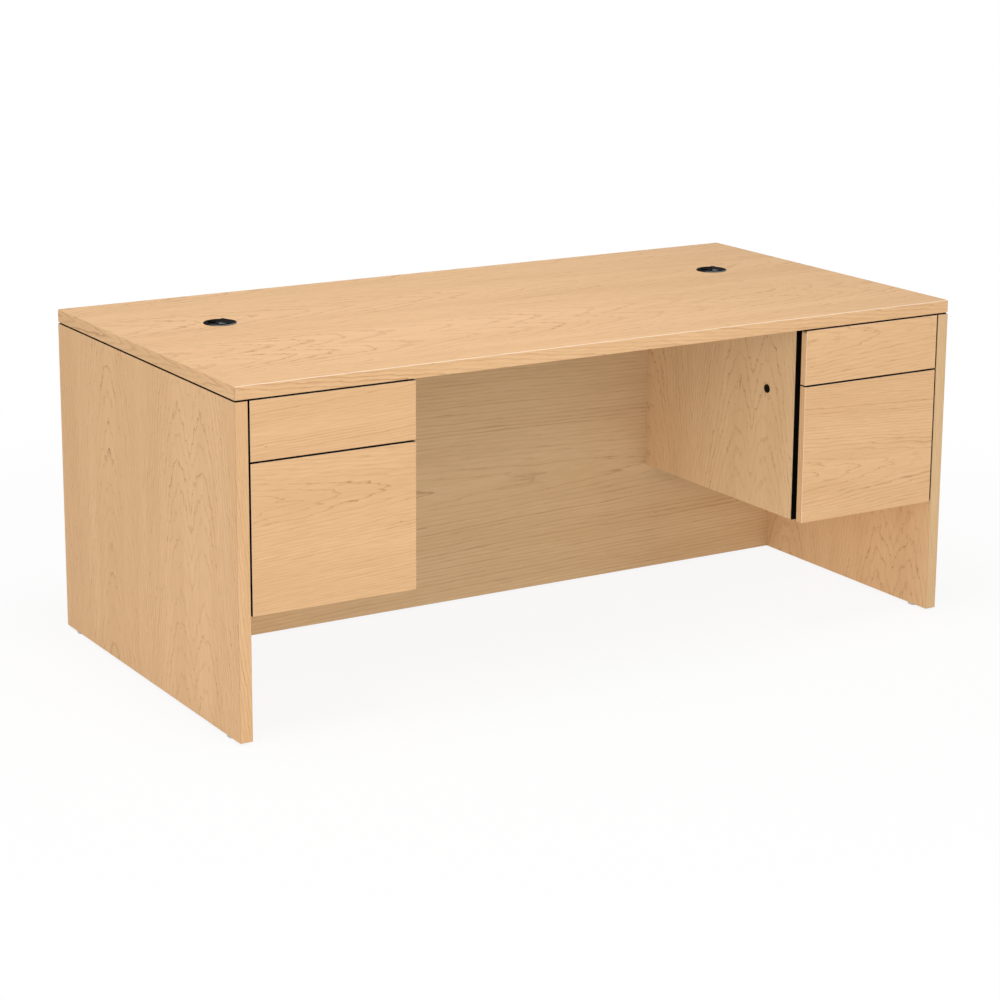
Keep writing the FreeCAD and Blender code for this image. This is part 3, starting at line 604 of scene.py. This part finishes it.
# Occlusion levels at which the painted gap shade begins, on the top and on the drawer fronts
TOP_OPEN = 0.62
FRONT_OPEN = 0.96
GAP_OPEN = {"desk_top": TOP_OPEN, **dict.fromkeys(DRAWER_FRONTS, FRONT_OPEN)}
BACKING_DARK = (0.26, 0.22, 0.175, 1.0)
BACKING_LIGHT = (0.31, 0.265, 0.215, 1.0)
BACKING_WAVES = (180.0, 180.0, 180.0)
BACKING_SEED = 2.5
BACKING_DETAIL = 4.0
BACKING_STEP = (0.35, 0.65)


def board_point(graph, face_order, band_order):
    """A point as (along the grain, across it, through the board), turned on the end faces."""
    coordinates = graph.add("TexCoord").outputs
    place = graph.parts(coordinates["Object"])
    facing = graph.parts(coordinates["Normal"])
    on_face = graph.point(*[place[axis] for axis in face_order])
    on_band = graph.point(*[place[axis] for axis in band_order])
    end_face = graph.math("GREATER_THAN", graph.math("ABSOLUTE", facing[face_order[0]]), END_FACING)
    return graph.choose(end_face, on_face, on_band)


def backed(graph, colour):
    """Lays the backing sheet on the face that looks down."""
    coordinates = graph.add("TexCoord").outputs
    under = graph.math("LESS_THAN", graph.parts(coordinates["Normal"])["Z"], -END_FACING)
    cloud = graph.noise(graph.scaled(coordinates["Object"], BACKING_WAVES), BACKING_SEED, BACKING_DETAIL)
    sheet = graph.blend(graph.step(cloud, *BACKING_STEP), BACKING_DARK, BACKING_LIGHT)
    return graph.blend(under, colour, sheet)


def maple_board(name, grain, figure):
    finish, graph, shader = new_finish("maple_" + name)
    laminate = graph.place(MAPLE_FIGURE, {"Point": board_point(graph, *grain), **figure})
    # Drawer fronts carry the painted highlight on their upright corners too, in place of the brown joint
    corner = ARRIS_PAINTED_HIGHLIGHT if name in DRAWER_FRONTS else ARRIS_BROWN
    tones = {"Colour": laminate["Colour"], "Painted Highlight": ARRIS_PAINTED_HIGHLIGHT, "Corner": corner}
    colour = graph.place(ARRIS_TONE, tones)["Colour"]
    if name == "desk_top":
        colour = backed(graph, colour)
    # The painted shade of the gaps goes over the colour
    shaded = graph.place(PAINTED_GAP_SHADE, {"Colour": colour, "Open": GAP_OPEN.get(name, PLAIN_OPEN)})
    graph.feed(shader["Base Color"], shaded["Colour"])
    graph.feed(shader["Roughness"], laminate["Roughness"])
    bumped(graph, shader, laminate["Height"], strength=0.12, distance=0.0002)
    shader["Specular IOR Level"].default_value = 0.03
    return finish


def dress(node_name, finish):
    """Gives a node one finish all over."""
    for slot in frame["nodes"][node_name].material_slots:
        slot.link = "OBJECT"
        slot.material = finish


for board_name, (grain, figure) in BOARDS.items():
    dress(board_name, maple_board(board_name, grain, figure))
print(len(BOARDS), "maple boards")

# %% [markdown]
# ## Moulded grain and handling
#
# The other finishes are quiet ones: matt black mouldings, drawer boxes wrapped in embossed black vinyl,
# hardboard bottoms, zinc-plated steel slides and grey nylon feet. Two effects come back in several of
# them. A moulded or embossed skin is a fine pebble of rounded cells, and handling leaves faint cloudy marks
# that show mostly in the gloss. Both are groups, so each finish only chooses its own scale and strength.

# %% Build the pebble and handling groups
PEBBLE_STEP = (0.75, 0.15)
# Clouds and streaks: waves per metre, seeds, and their shares in a mark
CLOUD_WAVES = (28.0, 16.0, 28.0)
CLOUD_SEED = 1.5
CLOUD_DETAIL = 4.0
CLOUD_PART = 0.65
RUB_WAVES = (900.0, 9.0, 900.0)
RUB_SEED = 4.5
RUB_PART = 0.35
DULL_STEP = (0.3, 0.7)
MARK_STEP = (0.35, 0.65)


def pebble_skin():
    """Rounded cells of the given size: Height is 1 on a cell and 0 in the valleys between."""
    graph, given, put = new_group("pebble skin", {"Cells per Metre": 900.0}, {"Height": VALUE})
    place = graph.add("TexCoord").outputs["Object"]
    values = {"Vector": place, "Scale": given["Cells per Metre"]}
    cells = graph.add("TexVoronoi", values, feature="SMOOTH_F1")
    graph.feed(put["Height"], graph.step(cells.outputs["Distance"], *PEBBLE_STEP))
    return graph.tree


def handling_marks():
    """Cloudy marks with streaks along the desk's depth, the way that drawers and slides are rubbed."""
    outputs = {"Roughness": VALUE, "Mask": VALUE}
    graph, given, put = new_group("handling marks", {"Low": 0.3, "High": 0.6}, outputs)
    place = graph.add("TexCoord").outputs["Object"]
    cloud = graph.noise(graph.scaled(place, CLOUD_WAVES), CLOUD_SEED, CLOUD_DETAIL)
    streak = graph.noise(graph.scaled(place, RUB_WAVES), RUB_SEED)
    mask = graph.math("MULTIPLY_ADD", streak, RUB_PART, graph.math("MULTIPLY", cloud, CLOUD_PART))
    span = graph.math("SUBTRACT", given["High"], given["Low"])
    dull = graph.step(mask, *DULL_STEP)
    graph.feed(put["Roughness"], graph.math("MULTIPLY_ADD", dull, span, given["Low"]))
    graph.feed(put["Mask"], graph.step(mask, *MARK_STEP))
    return graph.tree


PEBBLE_SKIN = pebble_skin()
HANDLING_MARKS = handling_marks()
print("pebble skin and handling marks ready")

# %% [markdown]
# ## Black mouldings and lock
#
# Grommets, reveals, finger channels and folder rails are moulded in black, and the lock is painted black.
# Plain black would hide their shape, so the bevels that face the sitter carry a painted grey highlight, in
# place of the light that they would catch. The shine is kept low, because a glossy black would mirror the
# white studio.

# %% Make the black finishes
MOULDING_TONES = ((0.003, 0.003, 0.003, 1.0), (0.006, 0.006, 0.006, 1.0))
# Painted highlight on the bevels that face the sitter
MOULDING_PAINTED_HIGHLIGHT = (0.25, 0.26, 0.28, 1.0)
BEVEL_STEPS = ((0.3, 0.5), (0.95, 0.85))
SITTER_STEP = (-0.2, -0.6)
BEVEL_SHARE = 0.8
LOCK_TONES = ((0.004, 0.004, 0.004, 1.0), (0.009, 0.009, 0.009, 1.0))


def two_tone(graph, shader, shares, first, second):
    graph.feed(shader["Base Color"], graph.blend(shares, first, second))


def black_moulding():
    """Deep black, and a painted grey highlight on the bevels that face the sitter."""
    finish, graph, shader = new_finish("black_moulding")
    marks = graph.place(HANDLING_MARKS, {"Low": 0.52, "High": 0.70})
    skin = graph.place(PEBBLE_SKIN, {"Cells per Metre": 1500.0})
    facing = graph.parts(graph.add("TexCoord").outputs["Normal"])
    bevel = graph.math("MULTIPLY", *[graph.step(facing["Z"], *limits) for limits in BEVEL_STEPS])
    # Painted highlight: the bevels that face the sitter are painted grey
    painted_highlight = graph.math("MULTIPLY", bevel, graph.step(facing["Y"], *SITTER_STEP))
    black = graph.blend(marks["Mask"], *MOULDING_TONES)
    two_tone(graph, shader, graph.math("MULTIPLY", painted_highlight, BEVEL_SHARE), black, MOULDING_PAINTED_HIGHLIGHT)
    graph.feed(shader["Roughness"], marks["Roughness"])
    bumped(graph, shader, skin["Height"], strength=0.25, distance=0.0001)
    shader["Specular IOR Level"].default_value = 0.01
    return finish


def black_lock():
    finish, graph, shader = new_finish("black_lock")
    marks = graph.place(HANDLING_MARKS, {"Low": 0.26, "High": 0.42})
    skin = graph.place(PEBBLE_SKIN, {"Cells per Metre": 2500.0})
    two_tone(graph, shader, marks["Mask"], *LOCK_TONES)
    graph.feed(shader["Roughness"], marks["Roughness"])
    bumped(graph, shader, skin["Height"], strength=0.15, distance=0.0001)
    shader["Specular IOR Level"].default_value = 0.05
    return finish


FINISHES = {"black_moulding": black_moulding(), "black_lock": black_lock()}
print("finishes:", ", ".join(FINISHES))

# %% [markdown]
# ## Drawer boxes
#
# The sides and backs of the drawers, and the pedestal backs, are boards wrapped in black vinyl with an
# embossed grain. The bottoms are hardboard, which is pressed from wood fibres: two noises, stretched one
# along the desk and one across it, give its short hairs in both directions.

# %% Make the vinyl and the hardboard
VINYL_TONES = ((0.022, 0.020, 0.019, 1.0), (0.038, 0.035, 0.033, 1.0))
HARDBOARD_TONES = ((0.034, 0.030, 0.027, 1.0), (0.085, 0.070, 0.056, 1.0))
HARDBOARD_ROUGHNESS = (0.50, 0.85)
HAIR_STEP = (0.48, 0.72)
HAIR_DETAIL = 3.0
# Waves per metre and seed of the hairs that lie each way
HAIRS = (((900.0, 160.0, 400.0), 2.0), ((160.0, 900.0, 400.0), 6.0))


def drawer_vinyl():
    finish, graph, shader = new_finish("drawer_vinyl")
    marks = graph.place(HANDLING_MARKS, {"Low": 0.42, "High": 0.62})
    skin = graph.place(PEBBLE_SKIN, {"Cells per Metre": 700.0})
    two_tone(graph, shader, graph.math("MULTIPLY", skin["Height"], marks["Mask"]), *VINYL_TONES)
    graph.feed(shader["Roughness"], marks["Roughness"])
    bumped(graph, shader, skin["Height"], strength=0.35, distance=0.0002)
    return finish


def hardboard():
    """Pressed wood fibres: short dark and light hairs in all directions, under a thin black coat."""
    finish, graph, shader = new_finish("hardboard")
    place = graph.add("TexCoord").outputs["Object"]
    layers = [graph.noise(graph.scaled(place, waves), seed, HAIR_DETAIL) for waves, seed in HAIRS]
    hairs = graph.math("MAXIMUM", *layers)
    two_tone(graph, shader, graph.step(hairs, *HAIR_STEP), *HARDBOARD_TONES)
    graph.feed(shader["Roughness"], graph.spread(hairs, *HARDBOARD_ROUGHNESS))
    bumped(graph, shader, hairs, strength=0.3, distance=0.0002)
    return finish


FINISHES.update({"drawer_vinyl": drawer_vinyl(), "hardboard": hardboard()})
print("finishes:", ", ".join(FINISHES))

# %% [markdown]
# ## Steel and nylon
#
# Slides, brackets, lock bars and screws are zinc-plated steel, which shows cloudy crystals and faint lines
# along the drawn strip. A glide is two pieces in one node, so its finish changes at the height of its foot:
# grey nylon below, and the plated stem above. The record names the finish of every node, so one loop can
# then dress them all.

# %% Make the steel and the nylon, and dress the nodes
ZINC_TONES = ((0.50, 0.51, 0.53, 1.0), (0.64, 0.645, 0.65, 1.0))
CRYSTALS_PER_METRE = 160.0
CRYSTAL_SHARE = 0.4
CLOUD_SHARE = 0.6
NYLON_TONES = ((0.48, 0.48, 0.46, 1.0), (0.56, 0.56, 0.54, 1.0))
STEM_TONE = (0.55, 0.56, 0.58, 1.0)
FOOT_HEIGHT = 0.005
FOOT_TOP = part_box("front_left_glide")[0].z + FOOT_HEIGHT


def zinc_steel():
    """Bright zinc on drawn strip: cloudy crystals and faint lines along the slides."""
    finish, graph, shader = new_finish("zinc_steel")
    place = graph.add("TexCoord").outputs["Object"]
    crystals = graph.add("TexVoronoi", {"Vector": place, "Scale": CRYSTALS_PER_METRE}).outputs["Color"]
    marks = graph.place(HANDLING_MARKS, {"Low": 0.24, "High": 0.44})
    cloud = graph.math("MULTIPLY", marks["Mask"], CLOUD_SHARE)
    share = graph.math("MULTIPLY_ADD", graph.parts(crystals)[0], CRYSTAL_SHARE, cloud)
    two_tone(graph, shader, share, *ZINC_TONES)
    graph.feed(shader["Roughness"], marks["Roughness"])
    bumped(graph, shader, marks["Mask"], strength=0.08, distance=0.0001)
    shader["Metallic"].default_value = 1.0
    return finish


def nylon_glide():
    """A grey nylon foot below, and the plated stem above it."""
    finish, graph, shader = new_finish("nylon_glide")
    place = graph.add("TexCoord").outputs["Object"]
    stem = graph.math("GREATER_THAN", graph.parts(place)["Z"], FOOT_TOP)
    marks = graph.place(HANDLING_MARKS, {"Low": 0.36, "High": 0.58})
    skin = graph.place(PEBBLE_SKIN, {"Cells per Metre": 1100.0})
    two_tone(graph, shader, stem, graph.blend(marks["Mask"], *NYLON_TONES), STEM_TONE)
    graph.feed(shader["Metallic"], stem)
    graph.feed(shader["Roughness"], marks["Roughness"])
    bumped(graph, shader, skin["Height"], strength=0.2, distance=0.0001)
    return finish


FINISHES.update({"zinc_steel": zinc_steel(), "grey_nylon": nylon_glide()})
for subpart in frame["record"]["subparts"]:
    if subpart["material_slot"] in FINISHES:
        dress(subpart["node"], FINISHES[subpart["material_slot"]])
print("finishes:", ", ".join(FINISHES))

# %% [markdown]
# ## Screws
#
# The brackets under the top and the slides of the drawers are held by pan-head screws with a cross recess.
# A head is turned from a short profile, as on a lathe, and its recess is the cross-shaped patch of faces
# in the middle, inset and pressed in. One head is built at each place straight into the mesh of its group,
# so that a group is one piece, however many screws it has.

# %% Make the screws
# Radius and height of each ring of a head, from the middle to the rim
HEAD_PROFILE = ((0.0006, 0.0019), (0.0021, 0.00185), (0.0028, 0.0015), (0.0034, 0.0007), (0.0035, 0.0))
HEAD_SEGMENTS = 16
CROSS_ARMS = 4
RECESS_DEPTH = 0.0010
RECESS_SLOPE = 0.00015


def add_screw_head(mesh, place, axis):
    """Turns a head about its axis, which points away from the sheet that the screw holds."""
    turns = [(index + 0.5) * math.tau / HEAD_SEGMENTS for index in range(HEAD_SEGMENTS)]
    rings = []
    for radius, height in HEAD_PROFILE:
        points = [(radius * math.cos(turn), radius * math.sin(turn), height) for turn in turns]
        rings.append([mesh.verts.new(point) for point in points])
    cross = [mesh.faces.new(rings[0])]
    for inner, outer in zip(rings, rings[1:]):
        for index in range(HEAD_SEGMENTS):
            after = (index + 1) % HEAD_SEGMENTS
            wall = mesh.faces.new((inner[index], outer[index], outer[after], inner[after]))
            if inner is rings[0] and after % (HEAD_SEGMENTS // CROSS_ARMS) == 0:
                cross.append(wall)
    pressed = bmesh.ops.inset_region(mesh, faces=cross, thickness=RECESS_SLOPE, depth=-RECESS_DEPTH)
    points = {vert for ring in rings for vert in ring}
    points.update(vert for face in pressed["faces"] + cross for vert in face.verts)
    turn = axis.to_track_quat("Z", "X").to_matrix().to_4x4()
    bmesh.ops.transform(mesh, matrix=Matrix.Translation(place) @ turn, verts=list(points))


def screw_group(name, body, places):
    """One piece with all screws of a group: places holds pairs of a point and a direction."""
    mesh = bmesh.new()
    for place, axis in places:
        add_screw_head(mesh, Vector(place), Vector(axis))
    data = bpy.data.meshes.new(name)
    mesh.to_mesh(data)
    mesh.free()
    data.materials.append(FINISHES["zinc_steel"])
    piece = bpy.data.objects.new(name, data)
    bpy.context.scene.collection.objects.link(piece)
    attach(piece, body)
    print(name, len(places), "screws")


print("screw heads", 2 * HEAD_PROFILE[-1][0], "m across")

# %% [markdown]
# ## Bracket screws
#
# Eight angle brackets hold the top: four on the end panels, two on the pedestal sides and two behind the
# modesty panel. Each has one screw up into the top, and one into the board behind its upright leg. Their
# places are measured from the boards' own boxes, so that the screws sit on the brackets that came with the
# frame.

# %% Screw the brackets to the boards
# The bracket's sheet, the hole's distance from its corner, and the brackets' places along the boards
BRACKET_SHEET = 0.002
BRACKET_HOLE = 0.015
BRACKET_FRONT = 0.157
BRACKET_PEDESTAL = 0.307
BRACKET_MODESTY = 0.350
SIDES = {"left": -1, "right": 1}
LEFT, RIGHT = Vector((-1, 0, 0)), Vector((1, 0, 0))
BACK, DOWN = Vector((0, 1, 0)), Vector((0, 0, -1))

top_low, top_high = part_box("desk_top")
modesty_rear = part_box("modesty_panel")[1].y
bracket_screws = []


def pedestal_walls(side):
    """The inner faces of the end panel and of the pedestal side: X, and the way into the pedestal."""
    end_low, end_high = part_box(side + "_end_panel")
    pedestal_low, pedestal_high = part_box(side + "_pedestal_side")
    if SIDES[side] < 0:
        return (end_high.x, RIGHT), (pedestal_low.x, LEFT)
    return (end_low.x, LEFT), (pedestal_high.x, RIGHT)


def screw_bracket(corner, inward):
    """Two screws of an angle bracket: one up into the top, one into the board behind its upright leg."""
    into_top = corner + inward * BRACKET_HOLE + DOWN * BRACKET_SHEET
    into_board = corner + inward * BRACKET_SHEET + DOWN * BRACKET_HOLE
    bracket_screws.extend([(into_top, DOWN), (into_board, inward)])


for side, sign in SIDES.items():
    (end_x, end_way), (pedestal_x, pedestal_way) = pedestal_walls(side)
    for y in (top_low.y + BRACKET_FRONT, (modesty_rear + top_high.y) / 2):
        screw_bracket(Vector((end_x, y, top_low.z)), end_way)
    screw_bracket(Vector((pedestal_x, top_low.y + BRACKET_PEDESTAL, top_low.z)), pedestal_way)
    screw_bracket(Vector((sign * BRACKET_MODESTY, modesty_rear, top_low.z)), BACK)
screw_group("bracket_screws", "frame", bracket_screws)

# %% [markdown]
# ## Slide screws
#
# A drawer slide is screwed to the drawer through the hollow of its inner member, and to the cabinet
# through the web of its outer one. Both kinds of head stand in the space between the members, so they must
# stay lower than that space. The file drawers' outer members have no room for a head: there the screws are
# countersunk flush.

# %% Screw the slides to the drawers and to the cabinet
SLIDE_SHEET = 0.0012
# Half the height of the drawer's own slide member
HALF_HEIGHT = {"box": 0.0212, "file": 0.0196}
SCREW_STATIONS = (0.1, 0.5, 0.9)


def slide_height(drawer, kind):
    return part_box(drawer + "_slide_members")[0].z + HALF_HEIGHT[kind]


def screw_row(x, way, ends, height):
    """Three screws along a slide, between its two ends."""
    ys = [ends[0].y + station * (ends[1].y - ends[0].y) for station in SCREW_STATIONS]
    return [((x + way.x * SLIDE_SHEET, y, height), way) for y in ys]


cabinet_screws = []
for side in SIDES:
    for kind in HALF_HEIGHT:
        drawer = side + "_" + kind + "_drawer"
        left_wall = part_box(drawer + "_left_side")
        right_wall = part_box(drawer + "_right_side")
        height = slide_height(drawer, kind)
        rows = screw_row(left_wall[0].x, LEFT, left_wall, height)
        rows += screw_row(right_wall[1].x, RIGHT, right_wall, height)
        screw_group(drawer + "_slide_screws", drawer, rows)
    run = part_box(side + "_cabinet_slide_members")
    for x, way in pedestal_walls(side):
        cabinet_screws += screw_row(x, way, run, slide_height(side + "_box_drawer", "box"))
screw_group("cabinet_slide_screws", "frame", cabinet_screws)
